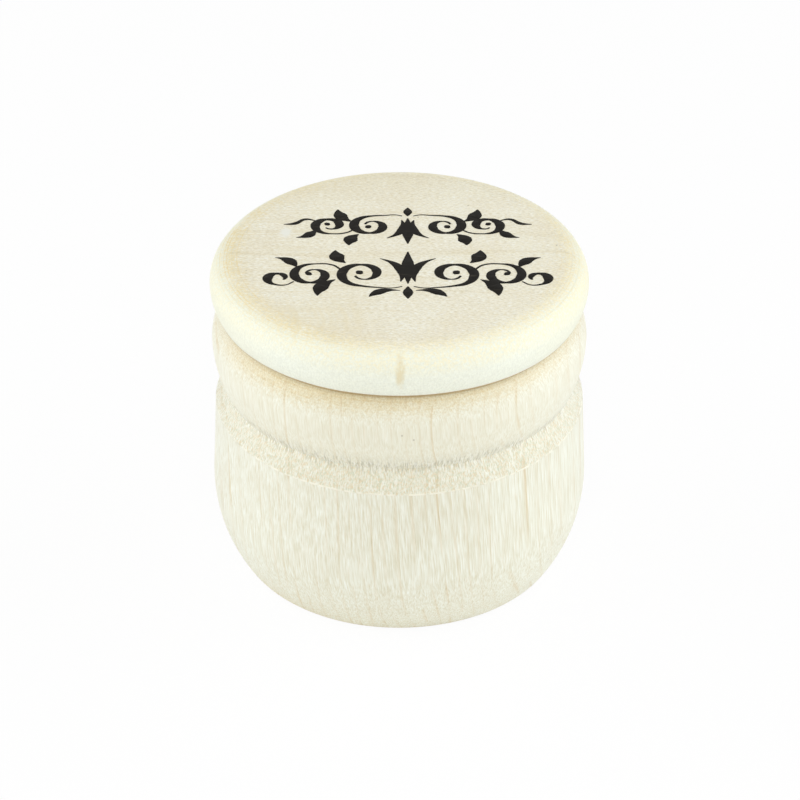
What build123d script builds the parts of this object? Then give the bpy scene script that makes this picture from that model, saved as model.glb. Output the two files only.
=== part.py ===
"""Turned wooden box for milk teeth: a jar bored from one block and a lid with its plug, in millimetres.

The box stands on the jar's foot at z = 0, and the lathe's axis is Z. Each half is one revolved
section. The jar's outline is read from the foot upwards, and every height stands on the one below.
"""

import os
from math import acos, asin, atan2, cos, degrees, hypot, radians, sin

from build123d import *

# Lid: flat top, rounded edge, and a flank that draws in to the jar
lid_diameter = 40.0
lid_edge_radius = 2.9
lid_flank_radius = 4.5
lid_flank_height = 2.5
lid_edge_break = 0.2

# Plug under the lid
plug_length = 5.0
plug_lead = 0.6
plug_clearance = 0.15

# Heights of the jar's outline, from the foot up
belly_height = 9.6
wall_height = 9.5
flare_height = 2.55
collar_height = 5.2

# How far the jar's outline goes in and out, from the lid down
lid_overhang = 0.05
crease_depth = 1.2
flare_width = 1.05
belly_swell = 0.45

# Curves of the jar's outline
shoulder_radius = 4.5
shoulder_turn = 64.0
belly_curve_radius = 16.8
heel_radius = 1.5

# Bore, cut by a flat-bottomed bit whose point leaves a pit in the floor
rim_width = 4.4
rim_chamfer = 0.4
floor_thickness = 5.0
pit_diameter = 2.4
pit_depth = 1.2
cut_overrun = 1.0

# Stations of the jar's outline, worked out from the sizes above
arris_z = belly_height + wall_height
crease_z = arris_z + flare_height
collar_z = crease_z + collar_height
rim_z = collar_z + shoulder_radius * sin(radians(shoulder_turn))
collar_radius = lid_diameter / 2 - lid_overhang
crease_radius = collar_radius - crease_depth
arris_radius = crease_radius + flare_width
belly_radius = arris_radius + belly_swell
rim_outer_radius = collar_radius - shoulder_radius * (1 - cos(radians(shoulder_turn)))
bore_radius = rim_outer_radius - rim_width
pit_radius = pit_diameter / 2

# The heel lies inside the belly's circle and touches both that circle and the ground
belly_centre_x = belly_radius - belly_curve_radius
heel_to_belly = belly_curve_radius - heel_radius
heel_angle = asin((belly_height - heel_radius) / heel_to_belly)
foot_radius = belly_centre_x + heel_to_belly * cos(heel_angle)

# The wall is the straight line from the arris that touches the belly's circle
arris_reach = arris_radius - belly_centre_x
wall_lean = atan2(wall_height, arris_reach) - acos(belly_curve_radius / hypot(arris_reach, wall_height))

# Stations of the lid, which rests on the jar's rim
lid_radius = lid_diameter / 2
lid_widest_z = rim_z + lid_flank_height
lid_top_z = lid_widest_z + lid_edge_radius
flank_turn = degrees(asin(lid_flank_height / lid_flank_radius))
plug_radius = bore_radius - plug_clearance
plug_foot_z = rim_z - plug_length

# The jar: rounded heel, swelling belly, crisp arris, V-shaped crease and rolled shoulder
with BuildPart() as jar:
    with BuildSketch(Plane.XZ):
        with BuildLine():
            foot = Line((0, 0), (foot_radius, 0))
            heel = JernArc(foot @ 1, (1, 0), heel_radius, 90 - degrees(heel_angle))
            belly = JernArc(heel @ 1, heel % 1, belly_curve_radius, degrees(heel_angle + wall_lean))
            wall = Line(belly @ 1, (arris_radius, arris_z))
            flare = Line(wall @ 1, (crease_radius, crease_z))
            collar = TangentArc((collar_radius, collar_z), flare @ 1, tangent=(0, -1))
            shoulder = JernArc(collar @ 0, (0, 1), shoulder_radius, shoulder_turn)
            Polyline(shoulder @ 1, (0, rim_z), foot @ 0)
        make_face()
    revolve(axis=Axis.Z)

    # The bore, open at the rim
    with BuildSketch(Plane.XZ):
        with BuildLine():
            Polyline(
                (0, floor_thickness - pit_depth),
                (pit_radius, floor_thickness),
                (bore_radius, floor_thickness),
                (bore_radius, rim_z + cut_overrun),
                (0, rim_z + cut_overrun),
                close=True,
            )
        make_face()
    revolve(axis=Axis.Z, mode=Mode.SUBTRACT)
    rim_circles = jar.edges().filter_by(GeomType.CIRCLE).group_by(Axis.Z)[-1]
    chamfer(rim_circles.sort_by(SortBy.RADIUS)[0], length=rim_chamfer)

# The lid: the disc over its plug, turned in one
with BuildPart() as lid:
    with BuildSketch(Plane.XZ) as lid_section:
        with BuildLine():
            plug = Polyline(
                (0, plug_foot_z),
                (plug_radius - plug_lead, plug_foot_z),
                (plug_radius, plug_foot_z + plug_lead),
                (plug_radius, rim_z),
            )
            flank = JernArc((lid_radius, lid_widest_z), (0, -1), lid_flank_radius, -flank_turn)
            edge = JernArc(flank @ 0, (0, 1), lid_edge_radius, 90)
            Line(plug @ 1, flank @ 1)
            Polyline(edge @ 1, (0, lid_top_z), plug @ 0)
        make_face()
        lower_edge = lid_section.vertices().sort_by_distance(flank @ 1)[0]
        chamfer(lower_edge, length=lid_edge_break)
    revolve(axis=Axis.Z)

jar.part.label = "jar"
lid.part.label = "lid"

print(f"outside {2 * belly_radius:.2f} x {lid_top_z:.2f}, foot {2 * foot_radius:.2f}")
print(f"bore {2 * bore_radius:.2f} x {rim_z - floor_thickness:.2f}")
print(f"plug {2 * plug_radius:.2f} x {plug_length:.2f}")
print(f"rim at {rim_z:.3f}, wall leans {degrees(wall_lean):.2f} degrees")

os.makedirs("parts", exist_ok=True)
export_step(jar.part, "parts/jar.step")
export_step(lid.part, "parts/lid.step")
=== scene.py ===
# %% [markdown]
# # A turned box for milk teeth
#
# The real box is two pieces of pale, unvarnished maple. The jar is bored from one block with
# its grain upright, and the lid is a disc with its plug, turned in one with its grain across.
# Here both are turned again, finely enough for a close look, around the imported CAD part, which
# stays as the fixed frame. This lesson shows how one outline and one Geometry Nodes tree can do
# a lathe's work, and how wood can be drawn as a solid block instead of a picture on its skin.

from math import acos, asin, atan2, ceil, cos, degrees, hypot, radians, sin

import bpy
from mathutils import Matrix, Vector


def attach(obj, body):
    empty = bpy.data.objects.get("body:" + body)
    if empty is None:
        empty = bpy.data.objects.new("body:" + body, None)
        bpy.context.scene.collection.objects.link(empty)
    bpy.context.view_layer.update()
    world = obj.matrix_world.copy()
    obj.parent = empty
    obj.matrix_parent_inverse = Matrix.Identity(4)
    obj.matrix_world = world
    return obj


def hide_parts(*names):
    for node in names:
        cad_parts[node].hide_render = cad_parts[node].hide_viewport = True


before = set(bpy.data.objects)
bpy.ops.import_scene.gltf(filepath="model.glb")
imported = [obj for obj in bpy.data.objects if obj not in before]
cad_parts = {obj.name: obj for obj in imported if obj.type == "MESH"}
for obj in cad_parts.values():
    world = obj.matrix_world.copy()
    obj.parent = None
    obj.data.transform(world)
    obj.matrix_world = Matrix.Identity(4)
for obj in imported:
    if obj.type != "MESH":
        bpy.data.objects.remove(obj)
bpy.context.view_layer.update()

# %% [markdown]
# ## The camera
#
# A product photographer puts a small box on a table and looks down at it through a long lens
# from close by. The angle, distance and lens below were found by fitting the box's outline, so
# the nearer rim is drawn a little larger than the far one, as a real lens draws it.

# %% Set the camera
MM = 0.001

camera_tilt = radians(32.903)
camera_distance = 333.33 * MM
camera_aim = Vector((0.0, 0.0, 18.15)) * MM
camera_lens = 138.9
camera_nudge = Vector((0.078, -0.125)) * MM

backwards = Vector((0.0, -cos(camera_tilt), sin(camera_tilt)))
upwards = Vector((0.0, sin(camera_tilt), cos(camera_tilt)))
camera_data = bpy.data.cameras.new("camera")
camera_data.lens = camera_lens
camera_data.sensor_width = 36.0
camera = bpy.data.objects.new("camera", camera_data)
camera.location = camera_aim + camera_distance * backwards + camera_nudge.y * upwards
camera.location.x += camera_nudge.x
camera.rotation_mode = "QUATERNION"
camera.rotation_quaternion = (-backwards).to_track_quat("-Z", "Y")
bpy.context.scene.collection.objects.link(camera)
bpy.context.scene.camera = camera
bpy.context.scene.view_settings.view_transform = "Standard"
print("camera looks down", round(degrees(camera_tilt), 1), "degrees through a lens of", camera_lens, "mm")

# %% [markdown]
# ## The outlines
#
# A turner cuts both halves to an outline, and so does this script. An outline is a row of
# points from the axis to the outside and back to the axis, as radius and height in millimetres.
# The sizes are the CAD part's own, so that the turned piece lies where its solid lies. Only the
# lid's lower edge is broken by less here, since the real one is crisp. Each stretch of the
# outline also says how its tool left it: tooled, where the gouge's fine rings show, or torn,
# where the edge lifted the fibres.

# %% Sizes of the box, in mm
lid_radius = 20.0
lid_edge_radius = 2.9
lid_flank_radius = 4.5
lid_flank_height = 2.5
lid_lower_break = 0.06
plug_length = 5.0
plug_lead = 0.6
plug_radius = 12.876

belly_height = 9.6
belly_radius = 20.25
belly_curve_radius = 16.8
heel_radius = 1.5
arris_height = 19.1
arris_radius = 19.8
crease_height = 21.65
crease_radius = 18.75
collar_height = 26.85
collar_radius = 19.95
shoulder_radius = 4.5
shoulder_turn = 64.0
bore_radius = 13.026
rim_chamfer = 0.4
floor_height = 5.0
pit_radius = 1.2
pit_depth = 1.2

rim_height = collar_height + shoulder_radius * sin(radians(shoulder_turn))
rim_radius = collar_radius - shoulder_radius * (1 - cos(radians(shoulder_turn)))
lid_widest_height = rim_height + lid_flank_height
lid_top_height = lid_widest_height + lid_edge_radius
lid_flat_radius = lid_radius - lid_edge_radius
print("rim at", round(rim_height, 3), "mm, top of the lid at", round(lid_top_height, 3), "mm")

# %% Draw a stretch of an outline
# Points lie a spacing in mm apart, less where marks or curves need it, and a straight run has
# one more point this near to each of its corners
corner_ease = 0.07


def straight(start, end, spacing):
    """A run from start to end, with an extra point just inside each end to keep its corners crisp."""
    length = hypot(end[0] - start[0], end[1] - start[1])
    count = ceil(length / spacing)
    shares = [i / count for i in range(count + 1)]
    if length > 4 * corner_ease:
        shares = sorted(shares + [corner_ease / length, 1 - corner_ease / length])
    return [tuple(a + share * (b - a) for a, b in zip(start, end)) for share in shares]


def arc(centre, radius, first, last, spacing):
    """An arc from the first angle to the last, in degrees up from straight out."""
    count = ceil(abs(radians(last - first)) * radius / spacing)
    turns = [radians(first + (last - first) * i / count) for i in range(count + 1)]
    return [(centre[0] + radius * cos(turn), centre[1] + radius * sin(turn)) for turn in turns]


# %% The jar's outline
belly_centre = (belly_radius - belly_curve_radius, belly_height)
heel_reach = belly_curve_radius - heel_radius
heel_angle = degrees(asin((belly_height - heel_radius) / heel_reach))
foot_radius = belly_centre[0] + heel_reach * cos(radians(heel_angle))
arris_reach = arris_radius - belly_centre[0]
arris_rise = arris_height - belly_height
arris_turn = atan2(arris_rise, arris_reach)
wall_lean = degrees(arris_turn - acos(belly_curve_radius / hypot(arris_reach, arris_rise)))
belly = arc(belly_centre, belly_curve_radius, -heel_angle, wall_lean, 0.28)

collar_rise = collar_height - crease_height
collar_in = collar_radius - crease_radius
collar_curve = (collar_in**2 + collar_rise**2) / (2 * collar_in)
collar_angle = degrees(asin(collar_rise / collar_curve))

# The torn fibres reach this far up the collar, in degrees of its arc
torn_turn = 2.6
collar_foot_angle = collar_angle - torn_turn
collar_centre = (collar_radius - collar_curve, collar_height)
shoulder_centre = (collar_radius - shoulder_radius, collar_height)

arris = (arris_radius, arris_height)
crease = (crease_radius, crease_height)
rim_inside = (bore_radius + rim_chamfer, rim_height)
bore_top = (bore_radius, rim_height - rim_chamfer)
bore_foot = (bore_radius, floor_height)
pit_edge = (pit_radius, floor_height)

jar_outline = [
    ("foot", straight((0.0, 0.0), (foot_radius, 0.0), 1.0)),
    ("heel", arc((foot_radius, heel_radius), heel_radius, -90.0, -heel_angle, 0.2)),
    ("belly", belly),
    ("wall", straight(belly[-1], arris, 0.3)),
    ("flare", straight(arris, crease, 0.2)),
    ("collar_foot", arc(collar_centre, collar_curve, -collar_angle, -collar_foot_angle, 0.2)),
    ("collar", arc(collar_centre, collar_curve, -collar_foot_angle, 0.0, 0.26)),
    ("shoulder", arc(shoulder_centre, shoulder_radius, 0.0, shoulder_turn, 0.22)),
    ("rim", straight((rim_radius, rim_height), rim_inside, 0.35)),
    ("mouth", straight(rim_inside, bore_top, 0.2)),
    ("bore", straight(bore_top, bore_foot, 1.0)),
    ("floor", straight(bore_foot, pit_edge, 0.25)),
    ("pit", straight(pit_edge, (0.0, floor_height - pit_depth), 0.4)),
]
print("the jar's outline has", sum(len(points) for _, points in jar_outline), "points")

# %% The lid's outline
plug_foot = rim_height - plug_length
flank_angle = degrees(asin(lid_flank_height / lid_flank_radius))
flank_centre = (lid_radius - lid_flank_radius, lid_widest_height)
edge_centre = (lid_flat_radius, lid_widest_height)
flank = arc(flank_centre, lid_flank_radius, -flank_angle, 0.0, 0.25)[1:]

# The gouge's rings start this far up the rounding of the edge, in degrees
tool_start_angle = 52.0

lid_outline = [
    ("plug_foot", straight((0.0, plug_foot), (plug_radius - plug_lead, plug_foot), 0.25)),
    ("lead", straight((plug_radius - plug_lead, plug_foot), (plug_radius, plug_foot + plug_lead), 0.2)),
    ("plug", straight((plug_radius, plug_foot + plug_lead), (plug_radius, rim_height), 0.4)),
    ("underside", straight((plug_radius, rim_height), (flank[0][0] - lid_lower_break, rim_height), 0.3)),
    ("lower_break", [(flank[0][0] - lid_lower_break, rim_height), flank[0]]),
    ("flank", flank),
    ("edge", arc(edge_centre, lid_edge_radius, 0.0, tool_start_angle, 0.22)),
    ("edge_tooled", arc(edge_centre, lid_edge_radius, tool_start_angle, 90.0, 0.06)),
    ("top", straight((lid_flat_radius, lid_top_height), (0.0, lid_top_height), 0.4)),
]
print("the lid's outline has", sum(len(points) for _, points in lid_outline), "points")

# %% How strongly each stretch is marked
tooled_share = {
    "foot": 0.6,
    "floor": 1.0,
    "plug_foot": 0.8,
    "underside": 0.5,
    "edge_tooled": 0.8,
    "shoulder": 0.35,
    "flare": 0.3,
}
torn_share = {"flare": 1.0, "collar_foot": 0.7}
print("rings on", ", ".join(tooled_share), "and torn fibres on", ", ".join(torn_share))

# %% Keep an outline as a wire that carries its tool marks
same_place = 0.001 * MM


def wire(name, outline):
    """An outline as a line of vertices, with how far along it each lies and how it was cut."""
    places, tooled, torn = [], [], []
    for stretch, points in outline:
        for radius, height in points:
            place = Vector((radius, 0.0, height)) * MM
            if places and (place - places[-1]).length < same_place:
                continue
            places.append(place)
            tooled.append(tooled_share.get(stretch, 0.0))
            torn.append(torn_share.get(stretch, 0.0))
    mesh = bpy.data.meshes.new(name)
    mesh.from_pydata(places, [(i, i + 1) for i in range(len(places) - 1)], [])
    along = [0.0]
    for before, after in zip(places, places[1:]):
        along.append(along[-1] + (after - before).length)
    for label, values in (("along", along), ("tooled", tooled), ("torn", torn)):
        mesh.attributes.new(label, "FLOAT", "POINT").data.foreach_set("value", values)
    made = bpy.data.objects.new(name, mesh)
    bpy.context.scene.collection.objects.link(made)
    made.hide_render = True
    return made


jar_wire = wire("jar_wire", jar_outline)
lid_wire = wire("lid_wire", lid_outline)
print("the wires have", len(jar_wire.data.vertices), "and", len(lid_wire.data.vertices), "points")

# %% [markdown]
# ## A lathe made of Geometry Nodes
#
# Turning is one rule: the outline goes once round the axis. Curve to Mesh does that when its
# path is a small circle, the hub, and its profile is the outline moved inwards by the hub's
# radius. Every row of the mesh is then a row of the outline, and the marks that the wire
# carries come along. A Screw modifier could turn it as well, but here the same tree goes on to
# cut the tool's rings, tear the fibres and sand the skin, each as a depth below the surface.

# %% Add nodes to a tree
def add(tree, kind, feeds=None, stops=(), **options):
    """Adds one node. Options are its settings, feeds its inputs, stops a ramp's places and greys."""
    node = tree.nodes.new(kind)
    for option, value in options.items():
        setattr(node, option, value)
    if stops:
        marks = node.color_ramp.elements
        while len(marks) < len(stops):
            marks.new(1.0)
        for mark, (place, shade) in zip(marks, stops):
            mark.position = place
            mark.color = (shade, shade, shade, 1.0)
    for key, value in (feeds or {}).items():
        named = [s for s in node.inputs if s.enabled and s.name == key]
        socket = named[0] if named else node.inputs[key]
        if isinstance(value, bpy.types.Node):
            value = next(s for s in value.outputs if s.enabled)
        if isinstance(value, bpy.types.NodeSocket):
            tree.links.new(value, socket)
        else:
            socket.default_value = value
    return node


def new_tree(name, inputs):
    """A Geometry Nodes tree with named inputs and a place for its result, and what the inputs give."""
    tree = bpy.data.node_groups.new(name, "GeometryNodeTree")
    for label, kind in inputs.items():
        tree.interface.new_socket(label, in_out="INPUT", socket_type="NodeSocket" + kind)
    tree.interface.new_socket("Geometry", in_out="OUTPUT", socket_type="NodeSocketGeometry")
    return tree, add(tree, "NodeGroupInput").outputs


# %% Turn the outline
lathe, given = new_tree("turn_on_lathe", {
    "Outline": "Object",
    "Segments": "Int",
    "Hub": "Float",
    "Fibres": "Vector",
    "Allowance": "Float",
    "Ring Pitch": "Float",
    "Ring Depth": "Float",
    "Torn Depth": "Float",
    "Torn Size": "Float",
    "Sanding Depth": "Float",
    "Sanding Size": "Float",
    "Seed": "Float",
    "Timber": "Material",
})
outline = add(lathe, "GeometryNodeObjectInfo", {"Object": given["Outline"]})
thread = add(lathe, "GeometryNodeMeshToCurve", {"Mesh": outline.outputs["Geometry"]})

# Curve to Mesh wants its profile flat in X and Y, so the outline's heights are laid along Y
parts = add(lathe, "ShaderNodeSeparateXYZ", {"Vector": add(lathe, "GeometryNodeInputPosition")})
from_hub = add(lathe, "ShaderNodeMath", {0: parts.outputs["X"], 1: given["Hub"]}, operation="SUBTRACT")
turned_down = add(lathe, "ShaderNodeMath", {0: parts.outputs["Z"], 1: -1.0}, operation="MULTIPLY")
laid_flat = add(lathe, "ShaderNodeCombineXYZ", {"X": from_hub, "Y": turned_down})
profile = add(lathe, "GeometryNodeSetPosition", {"Geometry": thread, "Position": laid_flat})
hub = add(lathe, "GeometryNodeCurvePrimitiveCircle", {
    "Resolution": given["Segments"], "Radius": given["Hub"],
})
upright = add(lathe, "GeometryNodeSetCurveNormal", {"Curve": hub}, mode="Z_UP")
turned = add(lathe, "GeometryNodeCurveToMesh", {"Curve": upright, "Profile Curve": profile, "Scale": 1.0})

# The points on the axis become one, so that the middle is closed, and the faces turn outwards
closed = add(lathe, "GeometryNodeMergeByDistance", {"Geometry": turned, "Distance": same_place / 2})
whole = add(lathe, "GeometryNodeFlipFaces", {"Mesh": closed})
print("turning takes", len(lathe.nodes), "nodes")

# %% [markdown]
# The tool's rings run all the way round, so their depth may only change along the outline. A
# noise in one dimension gives rings of uneven depth, as a hand leaves them. Torn fibres are
# pits, so only the high part of a second noise cuts in. Sanding leaves long, shallow waves.
# Everything cuts inwards, which keeps the piece inside the CAD part's box.

# %% Cut the rings
along = add(lathe, "GeometryNodeInputNamedAttribute", {"Name": "along"}, data_type="FLOAT")
tooled = add(lathe, "GeometryNodeInputNamedAttribute", {"Name": "tooled"}, data_type="FLOAT")
ring_place = add(lathe, "ShaderNodeMath", {0: along, 1: given["Ring Pitch"]}, operation="DIVIDE")
ring_noise = add(lathe, "ShaderNodeTexNoise", {
    "W": ring_place, "Scale": 1.0, "Detail": 1.0,
}, noise_dimensions="1D")
rings = add(lathe, "ShaderNodeMath", {0: ring_noise, 1: tooled}, operation="MULTIPLY")
ring_cut = add(lathe, "ShaderNodeMath", {0: rings, 1: given["Ring Depth"]}, operation="MULTIPLY")
print("with the rings the lathe has", len(lathe.nodes), "nodes")

# %% Cut the torn fibres, drawn out along the grain of the jar
torn = add(lathe, "GeometryNodeInputNamedAttribute", {"Name": "torn"}, data_type="FLOAT")
torn_scale = add(lathe, "ShaderNodeMath", {0: 1.0, 1: given["Torn Size"]}, operation="DIVIDE")
torn_place = add(lathe, "ShaderNodeVectorMath", {
    0: add(lathe, "GeometryNodeInputPosition"), 1: (1.0, 1.0, 0.4),
}, operation="MULTIPLY")
torn_noise = add(lathe, "ShaderNodeTexNoise", {
    "Vector": torn_place, "W": given["Seed"], "Scale": torn_scale, "Detail": 3.0, "Roughness": 0.65,
}, noise_dimensions="4D")
pits = add(lathe, "ShaderNodeMapRange", {"Value": torn_noise, "From Min": 0.42, "From Max": 0.66})
torn_pits = add(lathe, "ShaderNodeMath", {0: pits, 1: torn}, operation="MULTIPLY")
torn_cut = add(lathe, "ShaderNodeMath", {0: torn_pits, 1: given["Torn Depth"]}, operation="MULTIPLY")
print("with the torn fibres it has", len(lathe.nodes), "nodes")

# %% Sand the skin
sand_scale = add(lathe, "ShaderNodeMath", {0: 1.0, 1: given["Sanding Size"]}, operation="DIVIDE")
sand_noise = add(lathe, "ShaderNodeTexNoise", {
    "W": given["Seed"], "Scale": sand_scale,
}, noise_dimensions="4D")
sand_cut = add(lathe, "ShaderNodeMath", {0: sand_noise, 1: given["Sanding Depth"]}, operation="MULTIPLY")
print("with the sanding it has", len(lathe.nodes), "nodes")

# %% Move the skin in and finish the tree
outwards = add(lathe, "GeometryNodeInputNormal")
cut = add(lathe, "ShaderNodeMath", {0: ring_cut, 1: torn_cut}, operation="ADD")
cut = add(lathe, "ShaderNodeMath", {0: cut, 1: sand_cut}, operation="ADD")
cut = add(lathe, "ShaderNodeMath", {0: cut, 1: given["Allowance"]}, operation="ADD")
inwards = add(lathe, "ShaderNodeMath", {0: cut, 1: -1.0}, operation="MULTIPLY")
shift = add(lathe, "ShaderNodeVectorMath", {"Vector": outwards, "Scale": inwards}, operation="SCALE")
facing = add(lathe, "ShaderNodeVectorMath", {0: outwards, 1: given["Fibres"]}, operation="DOT_PRODUCT")
end_grain = add(lathe, "ShaderNodeMath", {0: facing.outputs["Value"]}, operation="ABSOLUTE")
marked = whole
for label, value in (("end_grain", end_grain), ("pits", torn_pits)):
    marked = add(lathe, "GeometryNodeStoreNamedAttribute", {
        "Geometry": marked, "Name": label, "Value": value,
    })
skin = add(lathe, "GeometryNodeSetPosition", {"Geometry": marked, "Offset": shift})
smooth = add(lathe, "GeometryNodeSetShadeSmooth", {"Geometry": skin})
real = add(lathe, "GeometryNodeRealizeInstances", {"Geometry": smooth})
made = add(lathe, "GeometryNodeSetMaterial", {"Geometry": real, "Material": given["Timber"]})
add(lathe, "NodeGroupOutput", {"Geometry": made})
print("the lathe has", len(lathe.nodes), "nodes")

# %% [markdown]
# A tree could stay on its piece as a modifier and be worked out again at every change. A
# finished piece doesn't change any more, and a plain mesh can be measured, baked and exported
# as it is. So each tree is run once, its result is kept and the modifier is taken off.


# %% Run a tree once and keep a plain mesh
def grow(name, tree, inputs):
    """A new object with what the tree makes, as a plain mesh with no modifier left on it."""
    piece = bpy.data.objects.new(name, bpy.data.meshes.new(name + "_blank"))
    bpy.context.scene.collection.objects.link(piece)
    modifier = piece.modifiers.new("tree", "NODES")
    modifier.node_group = tree
    for socket in tree.interface.items_tree:
        if socket.in_out == "INPUT":
            modifier[socket.identifier] = inputs[socket.name]
    depsgraph = bpy.context.evaluated_depsgraph_get()
    mesh = bpy.data.meshes.new_from_object(piece.evaluated_get(depsgraph), depsgraph=depsgraph)
    piece.modifiers.remove(modifier)
    piece.data = mesh
    mesh.name = name
    mesh.calc_loop_triangles()
    print(name, "has", len(mesh.loop_triangles), "triangles")
    return piece


# %% [markdown]
# ## Maple, sawn and turned
#
# Bare maple is pale cream and diffuse-porous, so its pores are too fine to see. What shows is
# the silky run of the fibres, a thin tan line where each year's growth ends, and darker end
# grain. A picture of wood could be wrapped round the skin, but it smears where the skin bends
# and leaves a seam. So the wood is drawn as a solid: object coordinates are turned into the
# frame of the block that the piece was cut from, with its fibres along Z and the tree's heart
# on the Z axis. The year rings are then circles round the heart, and every cut through them
# looks right by itself.

# %% Colours from hex
def colour(hex_value):
    """An sRGB hex colour as linear red, green, blue and alpha."""
    channels = [int(hex_value[i:i + 2], 16) / 255 for i in (1, 3, 5)]
    return [c / 12.92 if c <= 0.04045 else ((c + 0.055) / 1.055) ** 2.4 for c in channels] + [1.0]


# %% Start a material, and lay a colour on it
def new_material(name):
    """A material whose tree is still empty, and that tree."""
    material = bpy.data.materials.new(name)
    material.use_nodes = True
    material.node_tree.nodes.clear()
    return material, material.node_tree


def lay(tree, shade, hex_value, *masks, **options):
    """Lays a colour on a shade, as strongly as its masks say when they are multiplied."""
    strength = masks[0]
    for mask in masks[1:]:
        strength = add(tree, "ShaderNodeMath", {0: strength, 1: mask}, operation="MULTIPLY")
    return add(tree, "ShaderNodeMix", {
        "Factor": strength, "A": shade, "B": colour(hex_value),
    }, data_type="RGBA", **options)


# %% Where a place lies in the block, and on the turned piece
def block_place(tree, heart, turn):
    """Places in mm, and the same places in the block. The heart is in mm, the turn in degrees."""
    place = add(tree, "ShaderNodeTexCoord").outputs["Object"]
    block = add(tree, "ShaderNodeMapping", {
        "Vector": place,
        "Location": Vector(heart) * MM,
        "Rotation": [radians(t) for t in turn],
        "Scale": (MM, MM, MM),
    }, vector_type="TEXTURE")
    return add(tree, "ShaderNodeVectorMath", {0: place, "Scale": 1 / MM}, operation="SCALE"), block


def round_the_axis(tree, place):
    """How far a place is from the lathe's axis, and its X, Y and Z."""
    level = add(tree, "ShaderNodeVectorMath", {0: place, 1: (1.0, 1.0, 0.0)}, operation="MULTIPLY")
    radius = add(tree, "ShaderNodeVectorMath", {0: level}, operation="LENGTH").outputs["Value"]
    return radius, add(tree, "ShaderNodeSeparateXYZ", {"Vector": place}).outputs


# %% Year lines
def grain(tree, block, across, along, **feeds):
    """A noise drawn out along the fibres: so many mm across them and so many along them."""
    sizes = (1 / across, 1 / across, 1 / along)
    scaled = add(tree, "ShaderNodeVectorMath", {0: block, 1: sizes}, operation="MULTIPLY")
    return add(tree, "ShaderNodeTexNoise", {"Vector": scaled, "Scale": 1.0, "Detail": 2.0} | feeds)


def year_lines(tree, block, width, waver, strength):
    """A thin line round the heart where each year ends, a width in mm after the last one."""
    # How far each place is from the heart, with the slow waver of a grown trunk
    bend = grain(tree, block, 6, 50, Detail=1.0)
    reach = add(tree, "ShaderNodeVectorMath", {0: block, 1: (1.0, 1.0, 0.0)}, operation="MULTIPLY")
    reach = add(tree, "ShaderNodeVectorMath", {0: reach}, operation="LENGTH").outputs["Value"]
    reach = add(tree, "ShaderNodeMath", {0: bend, 1: waver, 2: reach}, operation="MULTIPLY_ADD")

    # The wood darkens late in the year and ends at a sharp edge
    year = add(tree, "ShaderNodeMath", {0: reach, 1: width}, operation="DIVIDE")
    season = add(tree, "ShaderNodeMath", {0: year}, operation="FRACT")
    late = add(tree, "ShaderNodeValToRGB", {"Fac": season}, stops=[
        (0.0, 0.45), (0.05, 0.0), (0.55, 0.0), (0.8, 0.2), (0.9, 0.9), (0.95, 1.0), (1.0, 0.45),
    ])

    # Each year has a strength of its own, and its line fades here and there
    number = add(tree, "ShaderNodeMath", {0: year}, operation="FLOOR")
    own = add(tree, "ShaderNodeTexWhiteNoise", {"W": number}, noise_dimensions="1D").outputs["Value"]
    own = add(tree, "ShaderNodeMath", {0: own, 1: 2.0}, operation="POWER")
    own = add(tree, "ShaderNodeMapRange", {"Value": own, "To Min": 0.2, "To Max": strength})
    fade = grain(tree, block, 1.5, 14)
    fade = add(tree, "ShaderNodeMapRange", {"Value": fade, "From Min": 0.38, "From Max": 0.6})
    late = add(tree, "ShaderNodeMath", {0: late, 1: own}, operation="MULTIPLY")
    return add(tree, "ShaderNodeMath", {0: late, 1: fade}, operation="MULTIPLY")


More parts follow.
